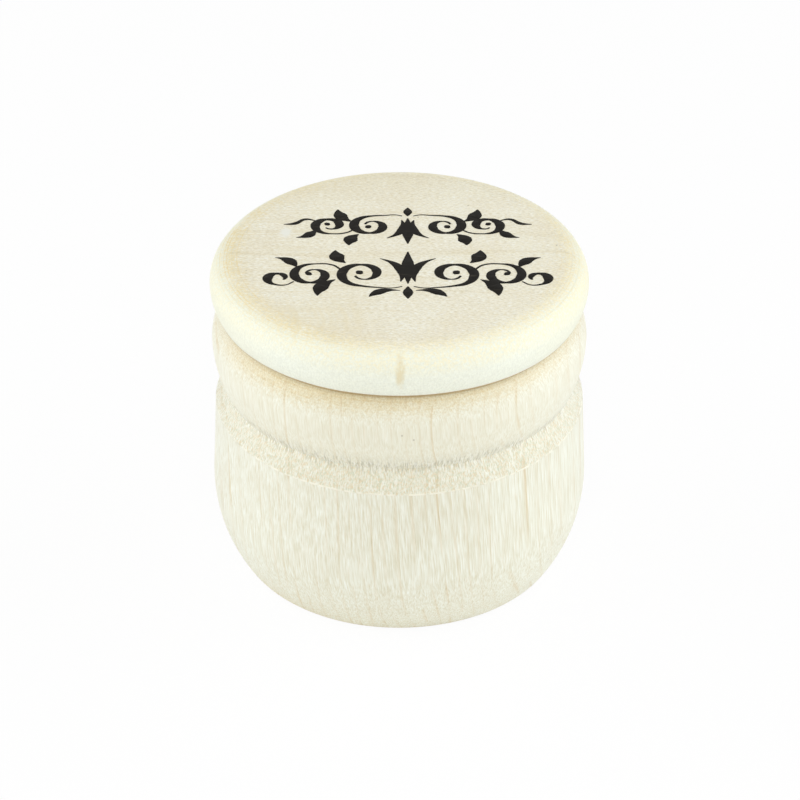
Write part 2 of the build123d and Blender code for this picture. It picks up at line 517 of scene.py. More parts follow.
# %% Fibres, flecks and specks
def maple(tree, block, years, streak, fibre_run, fibre_depth, tones):
    """The block's colour and its fibres. The tones are its pale wood, warm wood and dark lines."""
    pale, warm, dark = tones

    # Bundles of fibres 0.3 mm wide, and single fibres drawn 0.12 mm wide, which is about a pixel:
    # a real one is 0.02 mm wide and wouldn't show
    bundle = grain(tree, block, 0.3, 3 * fibre_run, Detail=3.0, Roughness=0.6)
    fibre = grain(tree, block, 0.12, fibre_run, Detail=2.0, Roughness=0.6)
    blotch = add(tree, "ShaderNodeTexNoise", {"Vector": block, "Scale": 1 / 5, "Detail": 3.0})
    warmth = add(tree, "ShaderNodeMath", {0: bundle, 1: streak, 2: blotch}, operation="MULTIPLY_ADD")
    middle = 0.5 + 0.5 * streak
    spread = 0.45
    warmth = add(tree, "ShaderNodeMapRange", {
        "Value": warmth, "From Min": middle - spread, "From Max": middle + spread,
    })
    shade = lay(tree, colour(pale), warm, warmth)
    shade = lay(tree, shade, dark, years)

    # Rays show as flecks 2.4 mm long, and a few mineral specks 0.1 mm wide as dark dots
    fleck = grain(tree, block, 0.13, 2.4)
    fleck = add(tree, "ShaderNodeMapRange", {
        "Value": fleck, "From Min": 0.55, "From Max": 0.66, "To Max": 0.3 * streak,
    })
    shade = lay(tree, shade, dark, fleck)
    cell = add(tree, "ShaderNodeTexVoronoi", {"Vector": block, "Scale": 1 / 4}).outputs["Distance"]
    speck = add(tree, "ShaderNodeMapRange", {
        "Value": cell, "From Min": 0.036, "From Max": 0.016, "To Max": 0.6,
    })
    shade = lay(tree, shade, "#7A6C50", speck)

    # A fibre that lies low is darker and browner, and one that lies high is brighter
    raised = add(tree, "ShaderNodeMapRange", {"Value": fibre, "From Min": 0.3, "From Max": 0.7})
    low = [1 - fibre_depth * share for share in (0.15, 0.18, 0.27)] + [1.0]
    high = [1 + fibre_depth * share for share in (0.08, 0.10, 0.16)] + [1.0]
    tint = add(tree, "ShaderNodeMix", {"Factor": raised, "A": low, "B": high}, data_type="RGBA")
    shade = add(tree, "ShaderNodeMix", {
        "Factor": 1.0, "A": shade, "B": tint,
    }, data_type="RGBA", blend_type="MULTIPLY", clamp_result=True)
    return shade, fibre


# %% Bands
def band(tree, value, first, full, last_full, last):
    """One between full and last_full, and falling to zero at first and last."""
    rise = add(tree, "ShaderNodeMapRange", {"Value": value, "From Min": first, "From Max": full})
    fall = add(tree, "ShaderNodeMapRange", {"Value": value, "From Min": last, "From Max": last_full})
    return add(tree, "ShaderNodeMath", {0: rise, 1: fall}, operation="MULTIPLY")


# %% [markdown]
# ## The jar's wood
#
# The jar stands with its grain upright, so its wall shows long fibres and a few year lines that
# lean with the trunk. The collar was cut cleaner than the belly, so its fibres show less, and its
# paler tone is partly painted light on its bulge. Each later mark is laid on by masks, numbers
# from 0 to 1 worked out from where a place is, and some of them are painted light and shade.
# That keeps every mark in its place without painting it by hand.

# %% The jar's maple, grain upright
jar_wood, tree = new_material("maple_turned_grain_upright")
place, block = block_place(tree, heart=(-42, -9, 0), turn=(0, -3.5, 0))
years = year_lines(tree, block, width=1.3, waver=2.4, strength=0.75)
shade, fibre = maple(
    tree, block, years, streak=0.6, fibre_run=3.2, fibre_depth=1.0,
    tones=("#F7F8EA", "#F1EFDE", "#DAC493"),
)
radius, sides = round_the_axis(tree, place)
height = sides["Z"]
print("the jar's maple starts with", len(tree.nodes), "nodes")

# %% Cleaner wood on the collar, laid paler as partly painted light
# The bore has the same heights as the outside, so this mask keeps the outside's marks out of it
outer = add(tree, "ShaderNodeMapRange", {
    "Value": radius, "From Min": bore_radius + 1, "From Max": bore_radius + 2,
})
clean_and_painted_light = band(tree, height, crease_height, crease_height + 1, collar_height, rim_height)
shade = lay(tree, shade, "#F9F4DE", clean_and_painted_light, outer, 0.35)
print("with the clean collar it has", len(tree.nodes), "nodes")

# %% [markdown]
# ## Golden end grain
#
# Where a cut crosses the fibres, their open ends take the light in, and the wood looks golden.
# On the jar that is the shoulder, the rim, the floor of the bore and the foot. It could be a
# band by height, but the lathe has already stored how squarely each point of the skin faces
# along the fibres, and that fades the gold as a real curve does.

# %% Gold where the skin faces along the fibres
end_grain = add(tree, "ShaderNodeAttribute", attribute_name="end_grain").outputs["Fac"]
mottle = add(tree, "ShaderNodeTexNoise", {
    "Vector": place, "Scale": 1 / 0.3, "Detail": 2.0, "Roughness": 0.7,
})
mottle = add(tree, "ShaderNodeMapRange", {"Value": mottle, "To Min": -0.4, "To Max": 0.4})
golden = add(tree, "ShaderNodeMath", {0: end_grain, 1: mottle}, operation="ADD")

# There is a little more gold from the crease upwards, and more towards the left, which is painted shade
# where the lid shades the left of the shoulder
upper = add(tree, "ShaderNodeMapRange", {
    "Value": height, "From Min": 20.0, "From Max": 28.0, "To Max": 0.14,
})
golden = add(tree, "ShaderNodeMath", {0: golden, 1: upper}, operation="ADD")
golden = add(tree, "ShaderNodeMath", {0: sides["X"], 1: -0.006, 2: golden}, operation="MULTIPLY_ADD")
golden = add(tree, "ShaderNodeMapRange", {"Value": golden, "From Min": 0.45, "From Max": 0.95})

# %% Break the gold up
# Level faces, such as the rim and the foot, were cut cleaner and are less golden
level_cut = add(tree, "ShaderNodeMapRange", {
    "Value": end_grain, "From Min": 0.6, "From Max": 0.85, "To Min": 0.88, "To Max": 0.45,
})

# The gouge went round in passes about 0.16 mm apart
passes = add(tree, "ShaderNodeMath", {0: height, 1: 0.16}, operation="DIVIDE")
passes = add(tree, "ShaderNodeTexNoise", {
    "W": passes, "Scale": 1.0, "Detail": 1.0,
}, noise_dimensions="1D")
passes = add(tree, "ShaderNodeMapRange", {
    "Value": passes, "From Min": 0.3, "From Max": 0.7, "To Min": 0.6, "To Max": 1.0,
})

# At the far left the gold is fainter, and so are the ticks that come later: painted light on the limb
# that the left window brightens
far_left_painted_light = add(tree, "ShaderNodeMapRange", {
    "Value": sides["X"], "From Min": -19.0, "From Max": -13.0, "To Min": 0.45,
})
shade = lay(tree, shade, "#E7D2A0", golden, level_cut, passes, far_left_painted_light, blend_type="MULTIPLY")
print("with the golden end grain it has", len(tree.nodes), "nodes")

# %% [markdown]
# Where the two halves meet, the lid's edge throws a thin brown line of shade on the shoulder. A
# rendered shadow alone is too grey for it, so it is painted shade: a narrow band of colour on the
# shoulder, and the lid's lower edge has its own half of it further below.

# %% The jar's half of the brown line, painted shade just under the lid's edge
painted_gap_shade = band(tree, height, rim_height - 0.8, rim_height - 0.55, rim_height - 0.5, rim_height - 0.3)
shade = lay(tree, shade, "#C09348", painted_gap_shade, outer, 0.75)
print("with the brown line it has", len(tree.nodes), "nodes")

# %% [markdown]
# ## Torn fibres
#
# On the flare the edge worked against the grain and pulled the fibres up into a pale fuzz, with
# tan and grey-green hollows between. The lathe has cut the larger hollows into the mesh. The
# fuzz is finer than its points, so it is drawn as colour and bump. The fibres were pulled up
# the slope, so their noise isn't laid out in the block but round the jar and upwards: each
# place is first brought to one radius, and only its turn and its height are left to count.

# %% Places round the jar and upwards
turned_way = add(tree, "ShaderNodeVectorMath", {0: place, 1: (1.0, 1.0, 0.0)}, operation="MULTIPLY")
turned_way = add(tree, "ShaderNodeVectorMath", {0: turned_way}, operation="NORMALIZE")
rising = add(tree, "ShaderNodeVectorMath", {0: place, 1: (0.0, 0.0, 1.0)}, operation="MULTIPLY")
slope = add(tree, "ShaderNodeVectorMath", {
    0: turned_way, 1: (crease_radius,) * 3, 2: rising,
}, operation="MULTIPLY_ADD")

# %% Pale fuzz with hollows between
torn = add(tree, "ShaderNodeAttribute", attribute_name="torn").outputs["Fac"]
pits = add(tree, "ShaderNodeAttribute", attribute_name="pits").outputs["Fac"]
tuft = grain(tree, slope, 0.13, 0.42, Detail=2.0, Roughness=0.65, Distortion=0.4)
hollow = add(tree, "ShaderNodeMapRange", {
    "Value": tuft, "From Min": 0.54, "From Max": 0.38, "To Max": 0.7,
})
hollow = add(tree, "ShaderNodeMath", {0: hollow, 1: torn}, operation="MULTIPLY")
hollow = add(tree, "ShaderNodeMath", {0: pits, 1: 0.2, 2: hollow}, operation="MULTIPLY_ADD")

# Some hollows are tan wood and others grey-green, which is painted shade in them, in patches a quarter of
# a millimetre wide
hollow_tan_and_painted_shade = add(tree, "ShaderNodeTexNoise", {"Vector": place, "Scale": 1 / 0.25, "Detail": 1.0})
hollow_tan_and_painted_shade = add(tree, "ShaderNodeMapRange", {"Value": hollow_tan_and_painted_shade, "From Min": 0.42, "From Max": 0.58})
hollow_tan_and_painted_shade = lay(tree, colour("#E2D0A8"), "#D2D4BA", hollow_tan_and_painted_shade)
shade = add(tree, "ShaderNodeMix", {"Factor": hollow, "A": shade, "B": hollow_tan_and_painted_shade}, data_type="RGBA")
fuzz = add(tree, "ShaderNodeMapRange", {
    "Value": tuft, "From Min": 0.5, "From Max": 0.64, "To Max": 0.5,
})
shade = lay(tree, shade, "#FAF9EF", fuzz, torn)
print("with the fuzz it has", len(tree.nodes), "nodes")

# %% Grey ticks where the collar starts
above = add(tree, "ShaderNodeMath", {0: height, 1: crease_height + 0.3}, operation="SUBTRACT")
above = add(tree, "ShaderNodeMath", {0: above}, operation="ABSOLUTE")
near = add(tree, "ShaderNodeMapRange", {"Value": above, "From Min": 1.0, "From Max": 0.5})
near = add(tree, "ShaderNodeMath", {0: near, 1: outer}, operation="MULTIPLY")
tick = grain(tree, slope, 0.15, 1.0, Detail=1.0)

# In front they reach faintly up the collar as painted shade, where the crease lies in shade between the
# side windows
painted_shade_ticks = add(tree, "ShaderNodeMapRange", {
    "Value": tick, "From Min": 0.36, "From Max": 0.6, "To Max": 0.24,
})
front = add(tree, "ShaderNodeMapRange", {
    "Value": sides["Y"], "From Min": -13.0, "From Max": -18.0, "To Min": 0.15,
})
painted_crease_shade = band(tree, height, crease_height, crease_height + 0.5, crease_height + 1.1, crease_height + 2.3)
shade = lay(tree, shade, "#B4B09C", painted_shade_ticks, front, painted_crease_shade, outer)
strong = add(tree, "ShaderNodeMapRange", {
    "Value": tick, "From Min": 0.48, "From Max": 0.62, "To Max": 0.45,
})
# The ticks are fainter at the far left, as painted light
shade = lay(tree, shade, "#B3AE96", strong, near, far_left_painted_light)

# %% Pale hairs among the ticks
hair = grain(tree, slope, 0.12, 0.8, Detail=1.0)
hair = add(tree, "ShaderNodeMapRange", {
    "Value": hair, "From Min": 0.55, "From Max": 0.66, "To Max": 0.8,
})
shade = lay(tree, shade, "#FCFBF2", hair, near)
print("with the ticks and hairs it has", len(tree.nodes), "nodes")

# %% [markdown]
# The crisp arris catches the light in a pale line 0.15 mm wide that is broken here and there.
# A bevel in the mesh would be lost at this size, and would be even all the way round. So the
# line is a painted highlight: a mask on height, and a soft noise breaks it.

# %% The painted highlight on the arris
off_arris = add(tree, "ShaderNodeMath", {0: height, 1: arris_height + 0.03}, operation="SUBTRACT")
off_arris = add(tree, "ShaderNodeMath", {0: off_arris}, operation="ABSOLUTE")
painted_arris_highlight = add(tree, "ShaderNodeMapRange", {
    "Value": off_arris, "From Min": 0.1, "From Max": 0.045, "To Max": 0.9,
})
broken = add(tree, "ShaderNodeTexNoise", {"Vector": place, "Scale": 1 / 0.7, "Detail": 3.0})
broken = add(tree, "ShaderNodeMapRange", {"Value": broken, "From Min": 0.42, "From Max": 0.56})
shade = lay(tree, shade, "#FFFCEC", painted_arris_highlight, broken, outer)
print("with the worn arris it has", len(tree.nodes), "nodes")

# %% [markdown]
# Bare wood has no film that could mirror the windows, so the eye sees it as matt, with a soft
# bloom where it turns away. The roughness and a little sheen give that, and its IOR of 1.5 is
# what wood's fibres have. Raised fibres 0.03 mm high are too small for the mesh, so they are
# bump, and the fuzz on the flare stands higher.


# %% Relief and gloss of the jar
def bare_skin(tree, shade, relief):
    """Sanded wood without varnish: matt, with a faint sheen from the ends of its fibres."""
    skin = add(tree, "ShaderNodeBsdfPrincipled", {
        "Base Color": shade,
        "Normal": relief,
        "Roughness": 0.6,
        "IOR": 1.5,
        "Sheen Weight": 0.1,
        "Sheen Roughness": 0.5,
    })
    add(tree, "ShaderNodeOutputMaterial", {"Surface": skin})


relief = add(tree, "ShaderNodeBump", {"Height": fibre, "Strength": 0.35, "Distance": 0.03 * MM})
tufts = add(tree, "ShaderNodeMath", {0: tuft, 1: torn}, operation="MULTIPLY")
relief = add(tree, "ShaderNodeBump", {
    "Height": tufts, "Strength": 0.5, "Distance": 0.1 * MM, "Normal": relief,
})
bare_skin(tree, shade, relief)
print("the jar's wood has", len(tree.nodes), "nodes")

# %% [markdown]
# ## The lid's wood
#
# The lid's grain runs across, from left to right, so its face shows long fibres and its edge
# shows end grain only at the left and the right. Its side was cut last and shows less grain, and
# it is paler than its face, partly as painted light where it faces the windows. The same block
# is used, laid on its side by its turn, with other sizes and tones.

# %% The lid's maple, grain across
lid_wood, tree = new_material("maple_turned_grain_across")
place, block = block_place(tree, heart=(0, 30, -30), turn=(0, 90, -3.5))
years = year_lines(tree, block, width=1.7, waver=4.0, strength=0.5)
shade, fibre = maple(
    tree, block, years, streak=0.3, fibre_run=0.45, fibre_depth=1.5,
    tones=("#FFFEF1", "#F2E9D2", "#DACA9F"),
)
radius, sides = round_the_axis(tree, place)
height = sides["Z"]
print("the lid's maple starts with", len(tree.nodes), "nodes")

# %% A paler side, partly painted light, yellower at its end grain
# Heights near the lid's face are counted down from just under the top of its outline
skin_top = lid_top_height - 0.005
side = band(tree, height, rim_height + 0.005, rim_height + 0.205, skin_top - 0.69, skin_top)
shade = lay(tree, shade, "#F9FDEF", side, 0.85)
end_grain = add(tree, "ShaderNodeAttribute", attribute_name="end_grain").outputs["Fac"]
end_grain = add(tree, "ShaderNodeMapRange", {
    "Value": end_grain, "From Min": 0.6, "From Max": 1.0, "To Max": 0.5,
})
shade = lay(tree, shade, "#F5EFCF", end_grain)

# Sanding leaves a fine speckle, drawn 0.16 mm wide so that it shows
speckle = grain(tree, place, 0.16, 0.35, Detail=2.0, Roughness=0.65)
speckle = add(tree, "ShaderNodeMapRange", {
    "Value": speckle, "From Min": 0.3, "From Max": 0.7, "To Min": 0.92, "To Max": 1.05,
})
shade = add(tree, "ShaderNodeVectorMath", {0: shade, "Scale": speckle}, operation="SCALE")
print("with the pale side it has", len(tree.nodes), "nodes")

# %% [markdown]
# ## Figure on the lid's face
#
# A flat-sawn face shows faint arches where it cuts slowly through the year rings, and this one
# is darker towards its back, which is painted shade where the face gets less light. Round years
# in the block can't give such arches in one place and not in another, so they are drawn by a
# rule of their own: all places with the same sum of X and a share of Y squared lie on one arch.
# Long fibres show most on the left half of the face.

# %% A darker back, painted shade
back = band(tree, sides["Y"], 9, 16, 17, 20)
shade = lay(tree, shade, "#F3F0E6", back, 0.45, blend_type="MULTIPLY")
print("with the tanner back it has", len(tree.nodes), "nodes")


# %% Faint arches near the front
def away_from(tree, place, centre, reach):
    """How far a place is from a centre, as a share of a reach in mm along X, Y and Z."""
    away = add(tree, "ShaderNodeVectorMath", {0: place, 1: centre}, operation="SUBTRACT")
    away = add(tree, "ShaderNodeVectorMath", {0: away, 1: reach}, operation="DIVIDE")
    return add(tree, "ShaderNodeVectorMath", {0: away}, operation="LENGTH").outputs["Value"]


bowed = add(tree, "ShaderNodeMath", {0: sides["Y"], 1: 14.0}, operation="ADD")
bowed = add(tree, "ShaderNodeMath", {0: bowed, 1: bowed}, operation="MULTIPLY")
bowed = add(tree, "ShaderNodeMath", {0: bowed, 1: 0.07, 2: sides["X"]}, operation="MULTIPLY_ADD")
arches = add(tree, "ShaderNodeTexNoise", {
    "W": bowed, "Scale": 0.9, "Detail": 1.0,
}, noise_dimensions="1D")
arches = add(tree, "ShaderNodeMapRange", {
    "Value": arches, "From Min": 0.4, "From Max": 0.62, "To Max": 0.5,
})
figured = away_from(tree, place, (-8.0, -13.0, 36.3), (6.0, 4.5, 2.0))
figured = add(tree, "ShaderNodeMapRange", {"Value": figured, "From Min": 1.0, "From Max": 0.4})
shade = lay(tree, shade, "#E9DDB8", arches, figured)
print("with the arches it has", len(tree.nodes), "nodes")

# %% Long fibres across the face
fibre_size = (1 / 7, 1 / 0.22, 1 / 0.22)
long_fibres = add(tree, "ShaderNodeVectorMath", {0: place, 1: fibre_size}, operation="MULTIPLY")
long_fibres = add(tree, "ShaderNodeTexNoise", {"Vector": long_fibres, "Scale": 1.0, "Detail": 1.0})
long_fibres = add(tree, "ShaderNodeMapRange", {
    "Value": long_fibres, "From Min": 0.46, "From Max": 0.66, "To Max": 0.4,
})
leftwards = add(tree, "ShaderNodeMapRange", {
    "Value": sides["X"], "From Min": 6.0, "From Max": -10.0, "To Min": 0.2,
})
face = add(tree, "ShaderNodeMapRange", {
    "Value": height, "From Min": skin_top - 0.39, "From Max": skin_top - 0.09,
})
shade = lay(tree, shade, "#E4D9B6", long_fibres, leftwards, face)
print("with the long fibres it has", len(tree.nodes), "nodes")

# %% [markdown]
# ## Golden rings at the edge of the face
#
# The gouge ran over the edge of the face last and left a few golden rings there, under a thin
# yellow wash over the rounding. The rings are lines of equal radius from a noise in one
# dimension, as a hand leaves them, and not evenly spaced as a wave would draw them. They are
# strongest where they cross the end grain, at the left and the right.

# %% A yellow wash over the rounding
fuzzy = add(tree, "ShaderNodeTexNoise", {
    "Vector": place, "Scale": 1 / 0.28, "Detail": 3.0, "Roughness": 0.65,
})
wash = add(tree, "ShaderNodeMapRange", {
    "Value": fuzzy, "From Min": 0.35, "From Max": 0.65, "To Max": 0.5,
})
rounding = band(tree, height, lid_widest_height, skin_top - 1.49, skin_top - 0.14, skin_top)
rightwards = add(tree, "ShaderNodeMapRange", {
    "Value": sides["X"], "From Min": -lid_radius, "From Max": lid_radius, "To Min": 0.8, "To Max": 1.3,
})
shade = lay(tree, shade, "#FFF3C4", wash, rounding, rightwards)
print("with the wash it has", len(tree.nodes), "nodes")

# %% Where the golden rings are strong
high_up = add(tree, "ShaderNodeMapRange", {
    "Value": height, "From Min": skin_top - 1.89, "From Max": skin_top - 0.89,
})
off_middle = add(tree, "ShaderNodeMath", {0: sides["X"], 1: 5.0}, operation="SUBTRACT")
off_middle = add(tree, "ShaderNodeMath", {0: off_middle}, operation="ABSOLUTE")
off_middle = add(tree, "ShaderNodeMapRange", {
    "Value": off_middle, "From Min": 5.0, "From Max": 24.0, "To Min": 0.05, "To Max": 1.3,
})
patches = add(tree, "ShaderNodeTexNoise", {"Vector": place, "Scale": 1 / 4, "Detail": 2.0})
patches = add(tree, "ShaderNodeMapRange", {
    "Value": patches, "From Min": 0.3, "From Max": 0.6, "To Min": 0.4,
})

# %% The rings themselves, on a fuzzy ground
fuzzy = add(tree, "ShaderNodeMapRange", {
    "Value": fuzzy, "From Min": 0.42, "From Max": 0.62, "To Max": 0.42,
})
fuzzy_band = band(tree, radius, 15.4, 17.2, 18.2, 19.4)
fuzzy = add(tree, "ShaderNodeMath", {0: fuzzy, 1: fuzzy_band}, operation="MULTIPLY")
gold_rings = add(tree, "ShaderNodeMath", {0: radius, 1: 0.15}, operation="DIVIDE")
gold_rings = add(tree, "ShaderNodeTexNoise", {
    "W": gold_rings, "Scale": 1.0, "Detail": 1.0,
}, noise_dimensions="1D")
gold_rings = add(tree, "ShaderNodeMapRange", {
    "Value": gold_rings, "From Min": 0.5, "From Max": 0.64,
})
ring_band = band(tree, radius, 16.4, 17.1, 18.6, 19.6)
gold_rings = add(tree, "ShaderNodeMath", {0: gold_rings, 1: ring_band}, operation="MULTIPLY")
gold_rings = add(tree, "ShaderNodeMath", {0: gold_rings, 1: 0.4, 2: fuzzy}, operation="MULTIPLY_ADD")
shade = lay(tree, shade, "#EBD591", gold_rings, patches, off_middle, high_up)
print("with the golden rings it has", len(tree.nodes), "nodes")

# %% The lid's half of the brown line, painted shade at its lower edge
lid_gap_shade_height = add(tree, "ShaderNodeMapRange", {
    "Value": height, "From Min": rim_height + 0.105, "From Max": rim_height + 0.045, "To Max": 0.8,
})
outside = add(tree, "ShaderNodeMapRange", {"Value": radius, "From Min": 18.9, "From Max": 19.1})
shade = lay(tree, shade, "#CB9030", lid_gap_shade_height, outside)
print("with the brown line it has", len(tree.nodes), "nodes")

# %% [markdown]
# ## Two marks that this lid has
#
# The real lid has a mineral streak in front, which minerals in the sap left in a few fibres,
# and a pale filled spot on its face. Both are ellipsoids in the solid wood, with edges that a
# noise makes ragged, so that the streak bends with the rounding of the edge by itself.

# %% The streak and the spot
def spot(tree, place, centre, reach, ragged):
    """One inside an ellipsoid with ragged edges, zero outside it."""
    away = away_from(tree, place, centre, reach)
    edge = add(tree, "ShaderNodeTexNoise", {"Vector": place, "Scale": 1 / 0.4, "Detail": 2.0})
    away = add(tree, "ShaderNodeMath", {0: edge, 1: ragged, 2: away}, operation="MULTIPLY_ADD")
    return add(tree, "ShaderNodeMapRange", {
        "Value": away, "From Min": 1.1 + ragged / 2, "From Max": 0.5 + ragged / 2,
    })


strands = grain(tree, place, 0.3, 1.5)
strands = add(tree, "ShaderNodeMapRange", {
    "Value": strands, "From Min": 0.35, "From Max": 0.6, "To Min": 0.3, "To Max": 0.7,
})
mineral = spot(tree, place, (0.1, -20, 34.15), (0.5, 2.2, 2.1), 0.8)
shade = lay(tree, shade, "#E6D7A9", mineral, strands)
filled = spot(tree, place, (-12, 4.5, 36.3), (0.75, 1.1, 1.0), 0.8)
shade = lay(tree, shade, "#F3F3E8", filled, 0.9)
print("with its two marks it has", len(tree.nodes), "nodes")

# %% Relief and gloss of the lid
relief = add(tree, "ShaderNodeBump", {"Height": fibre, "Strength": 0.25, "Distance": 0.03 * MM})
bare_skin(tree, shade, relief)
print("the lid's wood has", len(tree.nodes), "nodes")

# %% [markdown]
# ## The jar and the lid
#
# Both halves come off the same lathe, as they do in the workshop, and differ only in their
# outline, their timber and the way their fibres run.

# %% Turn both halves
lathe_settings = {
    "Segments": 384,
    "Hub": 1.0 * MM,
    "Allowance": 0.02 * MM,
    "Ring Pitch": 0.25 * MM,
    "Ring Depth": 0.06 * MM,
    "Torn Depth": 0.08 * MM,
    "Torn Size": 0.35 * MM,
    "Sanding Depth": 0.05 * MM,
    "Sanding Size": 8.0 * MM,
    "Seed": 3.0,
}
jar_shell = grow("jar_shell", lathe, lathe_settings | {
    "Outline": jar_wire, "Fibres": (0.0, 0.0, 1.0), "Timber": jar_wood,
})
lid_shell = grow("lid_shell", lathe, lathe_settings | {
    "Outline": lid_wire, "Fibres": (1.0, 0.0, 0.0), "Timber": lid_wood,
})
for used in (jar_wire, lid_wire):
    bpy.data.objects.remove(used)

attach(jar_shell, "jar")
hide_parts("jar")
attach(lid_shell, "lid")
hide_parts("lid")

# %% [markdown]
# ## The printed ornament
#
# The lid's face is printed in black with two rows of pen flourishes. Each row mirrors about its
# middle, so only the right half of the strokes is written down: volutes, which are spirals
# given by a rule, and leaves, which are short strokes pressed wide in the middle. A broad pen
# held level draws wide strokes where it moves up or down and hairlines where it moves sideways.
# That is a rule on the stroke's direction, so the tree works the widths out for itself.

# %% Strokes of the ornament, in mm on the lid's face
def volute(centre, first, last, outer, inner, count=12):
    """A spiral round a centre, from one angle to another and from one reach to another."""
    points = []
    for i in range(count + 1):
        share = i / count
        turn = radians(first + share * (last - first))
        reach = outer + share * (inner - outer)
        points.append((centre[0] + reach * cos(turn), centre[1] + reach * sin(turn)))
    return points


def leaf(root, tip, bend):
    """Seven places from root to tip, bowed sideways by a share of the leaf's length."""
    along = Vector(tip) - Vector(root)
    sideways = Vector((-along.y, along.x)) * 4 * bend
    shares = [i / 6 for i in range(7)]
    return [tuple(Vector(root) + share * along + share * (1 - share) * sideways) for share in shares]


# Each stroke is its places, the pen's pressure at its ends, and the pressure in its middle
front_row = [
    ([(0.6, -2.5), (1.6, -2.8), (3.0, -2.7)] + volute((4.7, 0.1), -90, 330, 2.5, 0.9), 0.25, 1.0),
    ([(7.0, 1.0), (7.9, 1.9)] + volute((9.9, -0.1), 95, -330, 2.2, 0.8), 0.25, 1.0),
    ([(11.8, -1.5), (12.7, -2.2)] + volute((13.4, -0.8), -70, 210, 1.3, 0.6), 0.2, 1.0),
    (leaf((4.75, 0.05), (5.3, 0.65), 0.0), 0.3, 0.9),
    (leaf((10.0, -0.15), (10.6, 0.35), 0.0), 0.3, 0.8),
    (leaf((6.5, 2.3), (7.6, 4.9), -0.13), 0.1, 1.5),
    (leaf((7.5, -1.1), (9.3, -4.3), 0.15), 0.1, 1.5),
    (leaf((11.6, 1.5), (13.9, 3.4), 0.15), 0.1, 1.5),
    (leaf((0.75, -1.5), (2.9, 3.2), 0.2), 0.1, 1.0),
    (leaf((0.8, -3.3), (4.0, -4.5), 0.16), 0.1, 1.8),
]
back_row = [
    ([(0.6, 2.1), (1.3, 2.35), (2.4, 2.25)] + volute((3.9, 0.0), 90, -330, 2.1, 0.75), 0.25, 1.0),
    ([(5.8, -0.9), (6.6, -1.5)] + volute((8.3, 0.1), -95, 310, 1.8, 0.65), 0.25, 1.0),
    ([(9.8, 1.1), (10.9, 1.4), (12.0, 0.5), (13.2, 0.3)], 0.2, 1.0),
    (leaf((3.95, 0.05), (4.45, -0.45), 0.0), 0.3, 0.8),
    (leaf((8.35, 0.15), (8.8, 0.6), 0.0), 0.3, 0.7),
    (leaf((5.2, -1.8), (6.2, -4.1), 0.13), 0.1, 1.4),
    (leaf((5.9, 0.9), (7.5, 3.5), -0.15), 0.1, 1.4),
    (leaf((9.8, -0.9), (11.8, -2.5), -0.15), 0.1, 1.4),
    (leaf((0.65, 1.2), (2.2, -2.6), -0.2), 0.1, 0.9),
]
middle_leaves = [
    [(leaf((0.0, -1.9), (0.0, 4.6), 0.0), 0.1, 1.2), (leaf((0.0, -2.5), (0.0, -4.9), 0.0), 0.1, 0.9)],
    [(leaf((0.0, 1.6), (0.0, -3.8), 0.0), 0.1, 1.1), (leaf((0.0, 2.1), (0.0, 3.9), 0.0), 0.1, 0.8)],
]
ornament_middle = 0.9
front_row_middle = -4.2
back_row_middle = 5.9


# %% Put the strokes on a curve object
# A power above 1 keeps more of a stroke thin, both near its ends and where it runs sideways
swell = 1.3


def pen_strokes(name, rows):
    """A smooth spline for each stroke, with the pen's pressure as its radius."""
    curve = bpy.data.curves.new(name, "CURVE")
    curve.dimensions = "3D"
    curve.resolution_u = 8
    for middle, strokes in rows:
        for points, light, bold in strokes:
            spline = curve.splines.new("BEZIER")
            spline.bezier_points.add(len(points) - 1)
            for i, (knot, (x, y)) in enumerate(zip(spline.bezier_points, points)):
                knot.co = Vector((x, y + middle, 0.0)) * MM
                knot.handle_left_type = knot.handle_right_type = "AUTO"
                share = i / (len(points) - 1)
                knot.radius = light + (bold - light) * sin(radians(180 * share)) ** swell
    made = bpy.data.objects.new(name, curve)
    bpy.context.scene.collection.objects.link(made)
    made.hide_render = True
    return made


paired = pen_strokes("paired_strokes", [(front_row_middle, front_row), (back_row_middle, back_row)])
single = pen_strokes("single_strokes", [
    (front_row_middle, middle_leaves[0]), (back_row_middle, middle_leaves[1]),
])
print("each half of the ornament has", len(paired.data.splines), "strokes")

# %% The pen, as a tree
pen, given = new_tree("broad_pen", {
    "Paired Strokes": "Object",
    "Single Strokes": "Object",
    "Middle": "Float",
    "Wide": "Float",
    "Hairline": "Float",
    "Ink Top": "Float",
    "Ink Depth": "Float",
    "Ink": "Material",
})
paired_in = add(pen, "GeometryNodeObjectInfo", {"Object": given["Paired Strokes"]}).outputs["Geometry"]
single_in = add(pen, "GeometryNodeObjectInfo", {"Object": given["Single Strokes"]}).outputs["Geometry"]
mirrored = add(pen, "GeometryNodeTransform", {"Geometry": paired_in, "Scale": (-1.0, 1.0, 1.0)})
both = add(pen, "GeometryNodeJoinGeometry")
for half in (paired_in, single_in, mirrored.outputs["Geometry"]):
    pen.links.new(half, both.inputs[0])
level = add(pen, "GeometryNodeSetCurveNormal", {"Curve": both}, mode="Z_UP")
heading = add(pen, "ShaderNodeSeparateXYZ", {"Vector": add(pen, "GeometryNodeInputTangent")}).outputs["Y"]
heading = add(pen, "ShaderNodeMath", {0: heading}, operation="ABSOLUTE")
heading = add(pen, "ShaderNodeMath", {0: heading, 1: swell}, operation="POWER")
pressure = add(pen, "GeometryNodeInputRadius")
width = add(pen, "ShaderNodeMapRange", {
    "Value": heading, "To Min": given["Hairline"], "To Max": given["Wide"],
})
width = add(pen, "ShaderNodeMath", {0: width, 1: pressure}, operation="MULTIPLY")
half_width = add(pen, "ShaderNodeMath", {0: width, 1: 0.5}, operation="MULTIPLY")
nib = add(pen, "GeometryNodeCurvePrimitiveQuadrilateral", {"Width": 2.0, "Height": 1.0})
